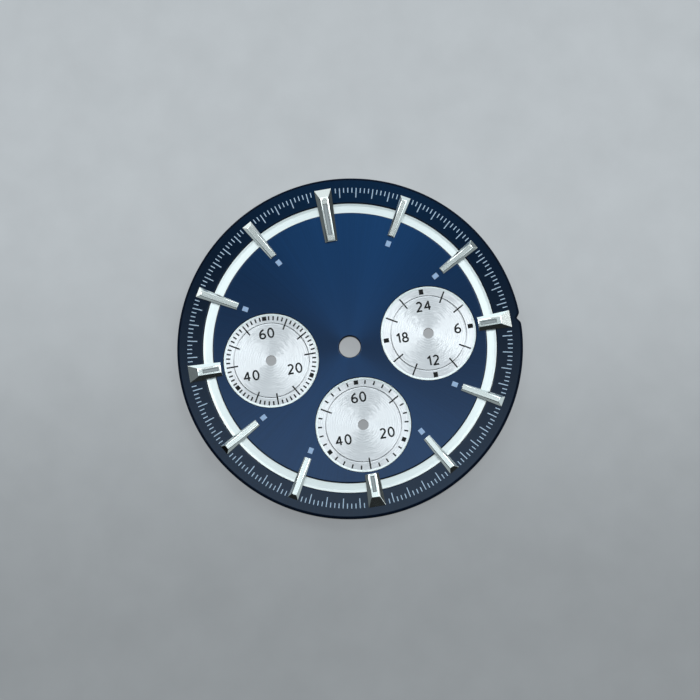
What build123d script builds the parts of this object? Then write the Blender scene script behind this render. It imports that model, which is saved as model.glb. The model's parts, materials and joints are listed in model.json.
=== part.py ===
from build123d import *
from math import cos, radians, sin, sqrt
import os

os.makedirs("parts", exist_ok=True)

# A three-register watch dial, in millimetres. The origin is the centre of the centre hole on the rear face.
# +Z points out of the face, +Y to 12 o'clock and +X to 3 o'clock.

# Plates
dial_radius = 16.75
base_thickness = 0.32
upper_thickness = 0.28
side_play = 0.02  # between plates that lie side by side
rim_land = 0.04  # straight wall left under the rounded rim
rear_edge_chamfer = 0.05
edge_chamfer = 0.03
centre_hole_radius = 1.04
centre_hole_chamfer = 0.09
cut_overrun = 1.0

# Notch in the rim at 3 o'clock
notch_depth = 0.33
notch_half_mouth = 0.44
notch_shoulder_round = 0.30

# Minute track, then the sunk silver ring, from the rim inwards
track_width = 2.55
ring_width = 0.90
ring_thickness = 0.10
ring_bevel_width = 0.24
ring_bevel_rise = 0.04

# Sub-dials, which fill the width between the centre hole and the ring but for two gaps
subdial_hole_gap = 2.06
subdial_ring_gap = 0.96
subdial_thickness = 0.14
subdial_bevel_width = 0.21
subdial_bevel_rise = 0.035
groove_edge_gap = 0.96
groove_half_width = 0.07
groove_depth = 0.03
pinion_hole_radius = 0.52

# Applied markers
wide_height = 0.34
wide_rim_margin = 0.97
wide_subdial_gap = 0.24
wide_noon_length = 5.27
wide_tip_half_width = 0.83
wide_inner_half_width = 0.66
wide_noon_inner_half_width = 0.60
wide_top_half_width = 0.39
wide_facet_length = 0.88
slim_height = 0.28
slim_rim_margin = 1.00
slim_length = 4.20
slim_tip_half_width = 0.51
slim_inner_half_width = 0.34
slim_top_half_width = 0.24
slim_facet_length = 0.38
skirt_height = 0.10
inner_end_slope = 0.04
marker_foot_radius = 0.13
marker_foot_play = 0.03
marker_foot_inset = 0.42

# Slots in the wide markers and the strips that lie in them
slot_width = 0.36
slot_depth = 0.16
slot_inner_margin = 0.27
slot_outer_margin = 0.50
noon_slot_inner_margin = 0.66
noon_slot_outer_margin = 0.63
strip_play = 0.01
strip_thickness = 0.10

# Pale squares inboard of the slim markers
square_marker_gap = 0.455
square_width = 0.47
square_length = 0.57
square_thickness = 0.05

# Printing
print_thickness = 0.02
minute_count = 60
ticks_per_minute_count = 4
track_rim_margin = 1.00
track_long_length = 0.95
track_short_length = 0.47
track_tick_width = 0.09
track_tick_play = 0.10
scale_bevel_gap = 0.04
scale_short_length = 0.39
scale_long_length = 1.12
scale_hours_length = 1.20
scale_tick_width = 0.14
scale_square_width = 0.42
scale_square_length = 0.40
hours_square_length = 0.50

# Numerals. Widths are shares of the digit's height, and places are shares of the groove's radius.
digit_height = 1.03
stroke_width = 0.16
digit_gap = 0.15
digit_width_shares = {"0": 0.66, "1": 0.39, "2": 0.62, "4": 0.71, "6": 0.64, "8": 0.64}
top_numeral_share = 0.738
side_numeral_shares = (0.582, -0.317)
hours_single_share = 0.784
hours_double_share = 0.697

# Strokes of the digits, as shares of the digit's half width and half height
one_shares = ((-1, 0.58), (1, 1), (1, -1))
two_arc_shares = ((-0.82, 0.73), (0, 1), (0.71, 0.09))
two_base_shares = ((0.71, 0.09), (-0.96, -1), (1, -1))
four_stem_shares = ((0.42, 1), (0.42, -1))
four_arm_shares = ((0.42, 1), (-1, -0.38), (1, -0.38))
six_stem_shares = ((-1, -0.38), (-0.52, 0.55), (0.74, 0.96))
six_bowl_height_share = 0.60
eight_bowl_height_share = 0.575
eight_top_width_share = 0.84

# Pins under the rear face that locate the dial in a movement
foot_radius = 0.35
foot_length = 1.50
foot_pad_radius = 0.75
foot_pad_thickness = 0.08
foot_rim_margin = 2.15
foot_angle = 40

# Hours, and angles clockwise from 12 o'clock
hour_count = 12
wide_marker_count = 4
seconds_square_angles = (0, 120, 240)
left_tick_angle = 6
left_long_angles = range(30, 360, 30)
lower_tick_angle = 12
lower_long_angles = (60, 180, 300)
hours_tick_angle = 30
hours_square_angle = 90

# Places worked out from the sizes above
face_level = base_thickness + upper_thickness
rim_round = upper_thickness - rim_land
ring_outer_radius = dial_radius - track_width
ring_inner_radius = ring_outer_radius - ring_width
disc_outer_radius = ring_inner_radius - side_play
track_inner_radius = ring_outer_radius + side_play
subdial_inner_reach = centre_hole_radius + subdial_hole_gap
subdial_outer_reach = ring_inner_radius - subdial_ring_gap
subdial_offset = (subdial_outer_reach + subdial_inner_reach) / 2
subdial_radius = (subdial_outer_reach - subdial_inner_reach) / 2
subdial_floor = base_thickness + subdial_thickness
subdial_centres = {
    "left": (-subdial_offset, 0),
    "right": (subdial_offset, 0),
    "lower": (0, -subdial_offset),
}
groove_radius = subdial_radius - groove_edge_gap
wide_outer_radius = dial_radius - wide_rim_margin
slim_outer_radius = dial_radius - slim_rim_margin
slim_inner_radius = slim_outer_radius - slim_length
square_outer_radius = slim_inner_radius - square_marker_gap
track_outer_radius = dial_radius - track_rim_margin
scale_outer_radius = subdial_radius - subdial_bevel_width - scale_bevel_gap
digit_widths = {character: share * digit_height for character, share in digit_width_shares.items()}
top_numeral_offset = top_numeral_share * groove_radius
side_numeral_x, side_numeral_y = [share * groove_radius for share in side_numeral_shares]
foot_circle_radius = dial_radius - foot_rim_margin
hour_step = 360 / hour_count
all_hours = range(1, hour_count + 1)
wide_hours = [hour for hour in all_hours if hour % (hour_count / wide_marker_count) == 0]


def hour_angle(hour):
    """The direction of an hour as an angle from +X, turning towards +Y."""
    return 90 - hour_step * hour


def polar(radius, angle):
    return (radius * cos(radians(angle)), radius * sin(radians(angle)))


def marker_sizes(hour):
    """The sizes in which one hour's marker differs from another's."""
    if hour == hour_count:
        return {
            "inner": wide_outer_radius - wide_noon_length,
            "outer": wide_outer_radius,
            "height": wide_height,
            "inner_half": wide_noon_inner_half_width,
            "tip_half": wide_tip_half_width,
            "top_half": wide_top_half_width,
            "facet": wide_facet_length,
            "slot_inner": noon_slot_inner_margin,
            "slot_outer": noon_slot_outer_margin,
        }
    if hour in wide_hours:
        return {
            "inner": subdial_outer_reach + wide_subdial_gap,
            "outer": wide_outer_radius,
            "height": wide_height,
            "inner_half": wide_inner_half_width,
            "tip_half": wide_tip_half_width,
            "top_half": wide_top_half_width,
            "facet": wide_facet_length,
            "slot_inner": slot_inner_margin,
            "slot_outer": slot_outer_margin,
        }
    return {
        "inner": slim_inner_radius,
        "outer": slim_outer_radius,
        "height": slim_height,
        "inner_half": slim_inner_half_width,
        "tip_half": slim_tip_half_width,
        "top_half": slim_top_half_width,
        "facet": slim_facet_length,
    }


def marker_foot_radii(hour):
    """Distances of a marker's two feet from the dial's centre."""
    sizes = marker_sizes(hour)
    outer_foot = sizes["outer"] - sizes["facet"]
    return (sizes["inner"] + marker_foot_inset, outer_foot)


def foot_holes(bottom, height):
    """Cutters for the holes that the markers' feet pass through."""
    hole = Cylinder(marker_foot_radius + marker_foot_play, height + 2 * cut_overrun)
    cutters = []
    for hour in all_hours:
        for radius in marker_foot_radii(hour):
            x, y = polar(radius, hour_angle(hour))
            cutters.append(Pos(x, y, bottom + height / 2) * hole)
    return cutters


def round_cutter(x, y, radius):
    return Pos(x, y, face_level / 2) * Cylinder(radius, face_level + 2 * cut_overrun)


def disc(radius, bottom, thickness):
    return Pos(0, 0, bottom + thickness / 2) * Cylinder(radius, thickness)


def notch_cutter():
    """A prism for the V notch at 3 o'clock, whose shoulders round off into the rim."""
    apex = Vector(dial_radius - notch_depth, 0)
    along = Vector(notch_depth, notch_half_mouth).normalized()
    into_plate = Vector(-along.Y, along.X)
    start = apex + into_plate * notch_shoulder_round
    # the shoulder's centre lies as far inside the rim, and from the V's side, as its radius
    inner_radius = dial_radius - notch_shoulder_round
    ahead = start.dot(along)
    travel = sqrt(ahead**2 + inner_radius**2 - start.dot(start)) - ahead
    centre = start + along * travel
    side_end = apex + along * travel
    rim_start = centre * (dial_radius / inner_radius)
    outside = Vector(dial_radius + cut_overrun, rim_start.Y)
    middle = ((side_end + rim_start) * 0.5 - centre).normalized()
    shoulder = ThreePointArc(side_end, centre + middle * notch_shoulder_round, rim_start)
    half = [Line(apex, side_end), shoulder, Line(rim_start, outside)]
    outline = half + [edge.mirror(Plane.XZ) for edge in half]
    closing = Line(outside, Vector(outside.X, -outside.Y))
    face = make_face(outline + [closing])
    return Pos(0, 0, -cut_overrun) * extrude(face, face_level + 2 * cut_overrun)


def edges_at(solid, level, radius):
    """Round edges of a solid at one height and of one radius."""
    near = edge_chamfer / 10
    found = solid.edges().filter_by(GeomType.CIRCLE)
    found = found.filter_by(lambda e: abs(e.center().Z - level) < near)
    return found.filter_by(lambda e: abs(e.radius - radius) < near)


def base_plate():
    plate = disc(dial_radius, 0, base_thickness)
    plate = chamfer(edges_at(plate, 0, dial_radius), rear_edge_chamfer)
    plate -= round_cutter(0, 0, centre_hole_radius)
    for x, y in subdial_centres.values():
        plate -= round_cutter(x, y, pinion_hole_radius)
    plate -= foot_holes(0, base_thickness)
    return plate - notch_cutter()


def centre_disc():
    plate = disc(disc_outer_radius, base_thickness, upper_thickness)
    plate -= round_cutter(0, 0, centre_hole_radius)
    opening_radius = subdial_radius + side_play
    for x, y in subdial_centres.values():
        plate -= round_cutter(x, y, opening_radius)
    plate = chamfer(edges_at(plate, face_level, centre_hole_radius), centre_hole_chamfer)
    trimmed = edges_at(plate, face_level, disc_outer_radius) + edges_at(plate, face_level, opening_radius)
    plate = chamfer(trimmed, edge_chamfer)
    return plate - foot_holes(base_thickness, upper_thickness)


def minute_track_ring():
    plate = disc(dial_radius, base_thickness, upper_thickness)
    plate -= round_cutter(0, 0, track_inner_radius)
    plate = fillet(edges_at(plate, face_level, dial_radius), rim_round)
    plate = chamfer(edges_at(plate, face_level, track_inner_radius), edge_chamfer)
    plate -= foot_holes(base_thickness, upper_thickness)
    return plate - notch_cutter()


def turned(points):
    """A solid turned round the dial's axis from points given as radius and height."""
    outline = make_face(Polyline(*[(radius, 0, height) for radius, height in points], close=True))
    return revolve(outline, Axis.Z)


def silver_ring():
    floor = base_thickness + ring_thickness
    bevel_start = ring_outer_radius - ring_bevel_width
    return turned(
        (
            (ring_inner_radius, base_thickness),
            (ring_outer_radius, base_thickness),
            (ring_outer_radius, floor + ring_bevel_rise),
            (bevel_start, floor),
            (ring_inner_radius, floor),
        )
    )


def subdial(x, y):
    """A silver plate with a pinion hole, a fine V groove and a bevelled edge."""
    bevel_start = subdial_radius - subdial_bevel_width
    plate = turned(
        (
            (pinion_hole_radius, base_thickness),
            (subdial_radius, base_thickness),
            (subdial_radius, subdial_floor + subdial_bevel_rise),
            (bevel_start, subdial_floor),
            (groove_radius + groove_half_width, subdial_floor),
            (groove_radius, subdial_floor - groove_depth),
            (groove_radius - groove_half_width, subdial_floor),
            (pinion_hole_radius, subdial_floor),
        )
    )
    return Pos(x, y, 0) * plate


def marker_body(sizes):
    """A tapered bar along +X on the plane Z = 0: a low skirt, then sides that slope in to a flat top."""
    inner, outer = sizes["inner"], sizes["outer"]
    foot_outline = (
        (inner, -sizes["inner_half"]),
        (outer, -sizes["tip_half"]),
        (outer, sizes["tip_half"]),
        (inner, sizes["inner_half"]),
    )
    top_start = inner + inner_end_slope
    top_end = outer - sizes["facet"]
    top_outline = (
        (top_start, -sizes["top_half"]),
        (top_end, -sizes["top_half"]),
        (top_end, sizes["top_half"]),
        (top_start, sizes["top_half"]),
    )
    skirt = extrude(Polygon(*foot_outline, align=None), skirt_height)
    lower = Pos(0, 0, skirt_height) * Polygon(*foot_outline, align=None)
    upper = Pos(0, 0, sizes["height"]) * Polygon(*top_outline, align=None)
    return skirt + loft([lower, upper], ruled=True)


def slot_span(hour):
    """Where a wide marker's slot starts and ends, as distances from the dial's centre."""
    sizes = marker_sizes(hour)
    start = sizes["inner"] + sizes["slot_inner"]
    end = sizes["outer"] - sizes["facet"] - sizes["slot_outer"]
    return start, end


def bar(start, end, width, bottom, top):
    """A box along +X between two distances."""
    centre = Pos((start + end) / 2, 0, (bottom + top) / 2)
    return centre * Box(end - start, width, top - bottom)


def marker(hour):
    sizes = marker_sizes(hour)
    body = marker_body(sizes)
    if hour in wide_hours:
        start, end = slot_span(hour)
        top = sizes["height"]
        body -= bar(start, end, slot_width, top - slot_depth, top + cut_overrun)
    for radius in marker_foot_radii(hour):
        body += Pos(radius, 0, -face_level / 2) * Cylinder(marker_foot_radius, face_level)
    return Pos(0, 0, face_level) * Rot(0, 0, hour_angle(hour)) * body


def inlay(hour):
    start, end = slot_span(hour)
    bottom = face_level + wide_height - slot_depth
    strip = bar(
        start + strip_play,
        end - strip_play,
        slot_width - 2 * strip_play,
        bottom,
        bottom + strip_thickness,
    )
    return Rot(0, 0, hour_angle(hour)) * strip


def hour_squares():
    inner = square_outer_radius - square_length
    top = face_level + square_thickness
    blocks = []
    for hour in all_hours:
        if hour not in wide_hours:
            block = bar(inner, square_outer_radius, square_width, face_level, top)
            blocks.append(Rot(0, 0, hour_angle(hour)) * block)
    return Compound(children=blocks)


def track_tick_is_clear(angle):
    """Whether a tick stands clear of the tip of the marker that is nearest to it."""
    nearest = round(angle / hour_step)
    sideways = track_outer_radius * abs(sin(radians(angle - hour_step * nearest)))
    tip_half = marker_sizes(nearest or hour_count)["tip_half"]
    return sideways > tip_half + track_tick_play + track_tick_width / 2


def minute_track_print():
    ticks = []
    tick_count = minute_count * ticks_per_minute_count
    for step in range(tick_count):
        angle = 360 * step / tick_count
        if track_tick_is_clear(angle):
            is_long = step % ticks_per_minute_count == 0
            length = track_long_length if is_long else track_short_length
            tick = bar(
                track_outer_radius - length,
                track_outer_radius,
                track_tick_width,
                face_level,
                face_level + print_thickness,
            )
            ticks.append(Rot(0, 0, 90 - angle) * tick)
    return Compound(children=ticks)


def scale_mark(x, y, angle, length, width):
    """One printed mark of a sub-dial's scale, from the scale's outer edge inwards."""
    mark = bar(
        scale_outer_radius - length,
        scale_outer_radius,
        width,
        subdial_floor,
        subdial_floor + print_thickness,
    )
    return Pos(x, y, 0) * Rot(0, 0, 90 - angle) * mark


def seconds_scale(x, y, step, long_angles):
    """A scale of 60: squares at 0, 20 and 40, long ticks at some angles and short ticks at the rest."""
    marks = []
    for angle in range(0, 360, step):
        if angle in seconds_square_angles:
            marks.append(scale_mark(x, y, angle, scale_square_length, scale_square_width))
        elif angle in long_angles:
            marks.append(scale_mark(x, y, angle, scale_long_length, scale_tick_width))
        else:
            marks.append(scale_mark(x, y, angle, scale_short_length, scale_tick_width))
    return Compound(children=marks)


def hours_scale(x, y):
    """A scale of 24 hours: squares at 24, 6, 12 and 18, and a long tick at every other even hour."""
    marks = []
    for angle in range(0, 360, hours_tick_angle):
        if angle % hours_square_angle == 0:
            marks.append(scale_mark(x, y, angle, hours_square_length, scale_square_width))
        else:
            marks.append(scale_mark(x, y, angle, scale_hours_length, scale_tick_width))
    return Compound(children=marks)


def stroke_points(shares, width):
    half_width = (width - stroke_width) / 2
    half_height = (digit_height - stroke_width) / 2
    return [(share_x * half_width, share_y * half_height) for share_x, share_y in shares]


def oval_ring(width, height, y):
    """A stroke that runs round an oval, given by its outer size and the height of its centre."""
    outer = Ellipse(width / 2, height / 2)
    inner = Ellipse(width / 2 - stroke_width, height / 2 - stroke_width)
    return Pos(0, y) * (outer - inner)


def digit(character):
    """The flat outline of one digit, centred on the origin."""
    width = digit_widths[character]
    if character == "0":
        return oval_ring(width, digit_height, 0)
    if character == "1":
        return trace(Polyline(*stroke_points(one_shares, width)), stroke_width)
    if character == "2":
        hook = ThreePointArc(*stroke_points(two_arc_shares, width))
        base = Polyline(*stroke_points(two_base_shares, width))
        return trace([hook, base], stroke_width)
    if character == "4":
        stem = trace(Line(*stroke_points(four_stem_shares, width)), stroke_width)
        return stem + trace(Polyline(*stroke_points(four_arm_shares, width)), stroke_width)
    if character == "6":
        bowl_height = six_bowl_height_share * digit_height
        bowl = oval_ring(width, bowl_height, (bowl_height - digit_height) / 2)
        return bowl + trace(ThreePointArc(*stroke_points(six_stem_shares, width)), stroke_width)
    lower_height = eight_bowl_height_share * digit_height
    upper_height = digit_height + stroke_width - lower_height
    lower = oval_ring(width, lower_height, (lower_height - digit_height) / 2)
    upper_width = eight_top_width_share * width
    return lower + oval_ring(upper_width, upper_height, (digit_height - upper_height) / 2)


def printed_digit(character):
    """A digit as a thin solid on the plane Z = 0, trimmed flat to its own height and width."""
    frame = Box(digit_widths[character], digit_height, print_thickness)
    return extrude(digit(character), print_thickness) & Pos(0, 0, print_thickness / 2) * frame


def numeral(text, x, y):
    """Printed digits side by side, centred on a point of a sub-dial's face."""
    total = sum(digit_widths[character] for character in text) + digit_gap * (len(text) - 1)
    left = x - total / 2
    solids = []
    for character in text:
        width = digit_widths[character]
        solids += (Pos(left + width / 2, y, subdial_floor) * printed_digit(character)).solids()
        left += width + digit_gap
    return solids


def seconds_numerals(x, y):
    solids = numeral("60", x, y + top_numeral_offset)
    solids += numeral("20", x + side_numeral_x, y + side_numeral_y)
    solids += numeral("40", x - side_numeral_x, y + side_numeral_y)
    return Compound(children=solids)


def hours_numerals(x, y):
    solids = numeral("24", x, y + top_numeral_offset)
    solids += numeral("12", x, y - top_numeral_offset)
    solids += numeral("6", x + hours_single_share * groove_radius, y)
    solids += numeral("18", x - hours_double_share * groove_radius, y)
    return Compound(children=solids)


def dial_foot(angle):
    """A pin with a flat pad, brazed to the rear face."""
    x, y = polar(foot_circle_radius, angle)
    pad = Pos(x, y, -foot_pad_thickness / 2) * Cylinder(foot_pad_radius, foot_pad_thickness)
    pin = Pos(x, y, -foot_length / 2) * Cylinder(foot_radius, foot_length)
    return pad + pin


def write(name, shape):
    export_step(shape, f"parts/{name}.step")


write("base_plate", base_plate())
write("centre_disc", centre_disc())
write("minute_track_ring", minute_track_ring())
write("silver_ring", silver_ring())
for side, (x, y) in subdial_centres.items():
    write(f"{side}_subdial", subdial(x, y))
for hour in all_hours:
    write(f"marker_{hour:02d}", marker(hour))
for hour in wide_hours:
    write(f"inlay_{hour:02d}", inlay(hour))
write("hour_squares", hour_squares())
write("minute_track_print", minute_track_print())
write("left_scale_print", seconds_scale(*subdial_centres["left"], left_tick_angle, left_long_angles))
write("lower_scale_print", seconds_scale(*subdial_centres["lower"], lower_tick_angle, lower_long_angles))
write("right_scale_print", hours_scale(*subdial_centres["right"]))
write("left_numerals", seconds_numerals(*subdial_centres["left"]))
write("lower_numerals", seconds_numerals(*subdial_centres["lower"]))
write("right_numerals", hours_numerals(*subdial_centres["right"]))
write("dial_foot_upper", dial_foot(foot_angle))
write("dial_foot_lower", dial_foot(foot_angle + 180))
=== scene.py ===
import json
from math import cos, pi, radians, sin, sqrt

import bmesh
import bpy
from bpy.props import FloatProperty, FloatVectorProperty, PointerProperty
from mathutils import Matrix, Vector


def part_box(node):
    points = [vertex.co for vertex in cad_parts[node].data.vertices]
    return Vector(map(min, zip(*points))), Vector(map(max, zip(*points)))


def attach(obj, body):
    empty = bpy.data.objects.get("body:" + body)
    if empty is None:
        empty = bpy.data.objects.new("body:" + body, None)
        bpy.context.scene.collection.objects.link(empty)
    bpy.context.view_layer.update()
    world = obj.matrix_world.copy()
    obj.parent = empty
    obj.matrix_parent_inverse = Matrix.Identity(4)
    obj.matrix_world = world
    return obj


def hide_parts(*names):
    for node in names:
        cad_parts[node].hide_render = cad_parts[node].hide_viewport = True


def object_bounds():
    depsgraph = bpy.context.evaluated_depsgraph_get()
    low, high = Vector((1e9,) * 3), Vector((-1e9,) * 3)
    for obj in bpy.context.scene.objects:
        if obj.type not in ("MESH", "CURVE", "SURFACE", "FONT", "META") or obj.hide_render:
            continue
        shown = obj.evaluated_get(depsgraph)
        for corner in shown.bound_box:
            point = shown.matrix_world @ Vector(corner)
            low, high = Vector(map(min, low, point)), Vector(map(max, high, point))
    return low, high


bl_info = {
    "name": "Watch Dial",
    "version": (1, 0, 0),
    "blender": (4, 5, 0),
    "location": "3D View > Sidebar > Dial",
    "description": "Models the plates, sub-dials, applied markers and printing of a watch dial",
    "category": "Add Mesh",
}

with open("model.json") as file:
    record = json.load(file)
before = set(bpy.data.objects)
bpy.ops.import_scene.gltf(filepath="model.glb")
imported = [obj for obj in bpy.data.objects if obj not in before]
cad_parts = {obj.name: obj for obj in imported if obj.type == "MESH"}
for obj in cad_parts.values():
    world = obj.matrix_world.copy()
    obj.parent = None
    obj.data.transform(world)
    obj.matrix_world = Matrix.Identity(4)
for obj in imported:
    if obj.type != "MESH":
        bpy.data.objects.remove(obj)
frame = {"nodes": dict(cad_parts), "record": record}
cad_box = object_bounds()
record = frame["record"]

mm = 0.001
level = 0.999  # a face whose normal points up by more than this is level
steep = 0.8  # a face whose normal points up by less than this is steep, and on the blue plates it gets painted shade
noise_low, noise_high = 0.3, 0.7  # almost all of a noise pattern lies between these
hours = range(1, 13)
wide_hours = (12, 3, 6, 9)
subdial_sides = ("left", "right", "lower")

# Steps round the circles, finer on the larger ones
rim_steps = 720
ring_steps = 512
opening_steps = 320
subdial_steps = 288
centre_hole_steps = 128
pin_steps = 96
small_hole_steps = 32


def hour_angle(hour):
    """The direction of an hour, in radians from +X."""
    return radians(90 - 30 * hour)


def extent(node, angle=0.0):
    """The nearest and farthest reach of a CAD node along a direction in the dial's plane."""
    way = Vector((cos(angle), sin(angle), 0))
    reaches = [vertex.co.dot(way) for vertex in frame["nodes"][node].data.vertices]
    return min(reaches), max(reaches)


def mount(name):
    """A mount of the record, by name."""
    return next(entry for entry in record["mounts"] if entry["name"] == name)


def linear(hex_colour):
    """A colour written as sRGB hex, as the linear values that shaders use."""
    shares = [int(hex_colour[start : start + 2], 16) / 255 for start in (0, 2, 4)]
    return tuple(share / 12.92 if share <= 0.04045 else ((share + 0.055) / 1.055) ** 2.4 for share in shares)


# Levels and radii that the CAD model sets, in metres
base_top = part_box("base_plate")[1].z
base_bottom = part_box("base_plate")[0].z
face_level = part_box("centre_disc")[1].z
subdial_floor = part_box("left_scale_print")[0].z
dial_radius = mount("rim")["dims"]["r_mm"] * mm
centre_hole_radius = mount("centre_bore")["dims"]["r_mm"] * mm
pinion_hole_radius = mount("left_pinion_bore")["dims"]["r_mm"] * mm
disc_radius = extent("centre_disc")[1]
ring_outer_radius = extent("silver_ring")[1]
subdial_low, subdial_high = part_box("left_subdial")
subdial_radius = (subdial_high.x - subdial_low.x) / 2
subdial_offset = subdial_radius - subdial_high.x
subdial_centres = {
    "left": Vector((-subdial_offset, 0, 0)),
    "right": Vector((subdial_offset, 0, 0)),
    "lower": Vector((0, -subdial_offset, 0)),
}


def length(label, description, millimetres):
    """A size that a user can change: written here in millimetres and kept in metres."""
    return FloatProperty(
        name=label, description=description, default=millimetres * mm, precision=5, unit="LENGTH"
    )


def colour(label, description, hex_colour):
    """A colour that a user can change."""
    return FloatVectorProperty(
        name=label, description=description, default=linear(hex_colour), subtype="COLOR"
    )


def turn_by(label, description, degrees):
    """An angle that a user can change: written here in degrees."""
    return FloatProperty(name=label, description=description, default=radians(degrees), subtype="ANGLE")


class DialPlateSettings(bpy.types.PropertyGroup):
    """Sizes and colours of the base plate and the two blue plates"""

    side_play: length("Side Play", "Gap between plates that lie side by side", 0.02)
    rim_round: length("Rim Round", "Radius of the rounded front edge", 0.24)
    hole_round: length("Hole Round", "Radius of the rounded edge of the centre hole", 0.12)
    ring_edge_round: length("Ring Edge Round", "Radius of the blue edges beside the sunk ring", 0.11)
    opening_round: length("Opening Round", "Radius of the edges of the sub-dial openings", 0.035)
    rear_chamfer: length("Rear Chamfer", "Chamfer of the rear edge", 0.05)
    notch_depth: length("Notch Depth", "Depth of the notch at 3 o'clock", 0.33)
    notch_half_mouth: length("Notch Half Mouth", "Half the width of the notch at the rim", 0.44)
    marker_hole_radius: length("Marker Hole Radius", "Radius of the holes for the markers' feet", 0.16)
    lacquer: colour("Lacquer", "Blue of the centre disc", "153459")
    track_lacquer: colour("Track Lacquer", "Blue of the minute track ring", "081E35")
    # Painted shade: a dark colour for the steep edges and the rim, in place of their shadow and dark
    # reflections
    edge_lacquer: colour("Edge Lacquer", "Dark lacquer over the rounded rim", "0C1728")
    plating: colour("Plating", "Plated brass of the base plate", "B9B6AC")


class SilverSettings(bpy.types.PropertyGroup):
    """Sizes and colours of the silver ring and the sub-dials"""

    ring_thickness: length("Ring Thickness", "Thickness of the sunk ring's floor", 0.10)
    ring_bevel_width: length("Ring Bevel Width", "Width of the bevel at the ring's outer edge", 0.24)
    ring_bevel_rise: length("Ring Bevel Rise", "Height of that bevel", 0.04)
    bevel_width: length("Sub-dial Bevel Width", "Width of the bevel round a sub-dial", 0.21)
    bevel_rise: length("Sub-dial Bevel Rise", "Height of that bevel", 0.035)
    lip_round: length("Lip Round", "Rounded edge at the top of that bevel", 0.05)
    groove_radius: length("Groove Radius", "Radius of the fine groove round a sub-dial", 3.66)
    groove_half_width: length("Groove Half Width", "Half the width of that groove", 0.07)
    groove_depth: length("Groove Depth", "Depth of that groove", 0.03)
    silver: colour("Silver", "Silver of the sub-dials", "ECECF0")
    satin: colour("Satin", "Silver of the ring", "E6ECED")


class MarkerSettings(bpy.types.PropertyGroup):
    """Sizes and colours of the applied markers"""

    skirt: length("Skirt", "Height of the upright foot of a marker's sides", 0.10)
    end_slope: length("End Slope", "How far the inner end leans back", 0.04)
    wide_inner_half: length("Wide Inner Half", "Half the width of a wide marker's inner end", 0.66)
    noon_inner_half: length("Noon Inner Half", "Half the width of the inner end at 12 o'clock", 0.60)
    wide_top_half: length("Wide Top Half", "Half the width of a wide marker's top", 0.39)
    wide_facet: length("Wide Facet", "Length of a wide marker's end facet", 0.88)
    wide_polish: length("Wide Polish", "Width of the polished edges of a wide marker's top", 0.085)
    slim_inner_half: length("Slim Inner Half", "Half the width of a slim marker's inner end", 0.34)
    slim_top_half: length("Slim Top Half", "Half the width of a slim marker's top", 0.24)
    slim_facet: length("Slim Facet", "Length of a slim marker's end facet", 0.38)
    slim_polish: length("Slim Polish", "Width of the polished edges of a slim marker's top", 0.035)
    hip_polish: length("Hip Polish", "Width of the other polished edges", 0.012)
    slot_wall: length("Slot Wall", "How far a slot's walls slope in", 0.02)
    foot_radius: length("Foot Radius", "Radius of a marker's feet", 0.13)
    foot_inset: length("Foot Inset", "Distance of the inner foot from the marker's inner end", 0.42)
    steel: colour("Steel", "Polished metal of the markers", "F3F6F4")
    strip: colour("Strip", "Grey strips in the slots", "B4BABD")
    # Painted shade: the darker border stands in for the shade that the slot's walls cast on the strip
    strip_shade: colour("Strip Shade", "Thin border of the grey strips", "878D92")
    strip_border: length("Strip Border", "Width of the thin border of the grey strips", 0.06)


class TrimSettings(bpy.types.PropertyGroup):
    """Sizes and colours of the squares, the printing and the dial's feet"""

    square_round: length("Square Round", "Rounded edges of the pale squares", 0.02)
    square: colour("Square", "Pale squares", "B3CEF4")
    pale_ink: colour("Pale Ink", "Printing of the minute track", "C6DCF5")
    black_ink: colour("Black Ink", "Printing on the sub-dials", "0B0D10")
    foot_chamfer: length("Foot Chamfer", "Chamfer at the end of a dial foot", 0.08)
    foot_fillet: length("Foot Fillet", "Solder fillet where a foot meets its pad", 0.12)
    brass: colour("Brass", "Bare brass of the dial feet", "C9AD72")


class StageSettings(bpy.types.PropertyGroup):
    """Camera, lamps and floor"""

    distance: length("Camera Distance", "Distance of the camera from the dial", 281.2)
    focal_length: FloatProperty(name="Focal Length", description="Lens, in millimetres", default=149.4)
    shift_across: FloatProperty(
        name="Shift Across", description="Share of the frame that the view moves across", default=0.0003
    )
    shift_up: FloatProperty(
        name="Shift Up", description="Share of the frame that the view moves up", default=-0.0043
    )
    tilt: turn_by("Tilt", "Lean of the view away from straight above", 10.17)
    tilt_towards: turn_by("Tilt Towards", "Direction on the dial of that lean", -89.77)
    dial_turn: turn_by("Dial Turn", "How far 12 o'clock is turned in the image", 9.87)
    lamp_distance: length("Lamp Distance", "Distance of the lamps from the dial", 800)
    floor: colour("Floor", "Pale floor", "C1C6CA")


def add_node(tree, kind, inputs=None, **settings):
    """Adds a shader node, with its settings, and with its inputs given as values or as sockets to link."""
    made = tree.nodes.new(kind)
    for name, value in settings.items():
        setattr(made, name, value)
    for name, value in (inputs or {}).items():
        if isinstance(value, bpy.types.NodeSocket):
            tree.links.new(value, made.inputs[name])
        else:
            made.inputs[name].default_value = value
    return made


def reckon(tree, operation, *values):
    """The result of arithmetic on numbers, each given as a value or as a socket."""
    return add_node(tree, "ShaderNodeMath", dict(enumerate(values)), operation=operation).outputs["Value"]


def reckon_vector(tree, operation, *values):
    """The result of arithmetic on vectors, each given as a value or as a socket."""
    made = add_node(tree, "ShaderNodeVectorMath", dict(enumerate(values)), operation=operation)
    return made.outputs["Vector"]


def scale_by(tree, vector, factor):
    """A vector or a colour times a number."""
    made = add_node(tree, "ShaderNodeVectorMath", {0: vector, "Scale": factor}, operation="SCALE")
    return made.outputs["Vector"]


def ramp(tree, value, start, end, start_level, end_level, shape="LINEAR"):
    """A level that goes from one to another between a start and an end, and stays there past them."""
    inputs = {
        "Value": value,
        "From Min": start,
        "From Max": end,
        "To Min": start_level,
        "To Max": end_level,
    }
    return add_node(tree, "ShaderNodeMapRange", inputs, interpolation_type=shape).outputs["Result"]


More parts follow.
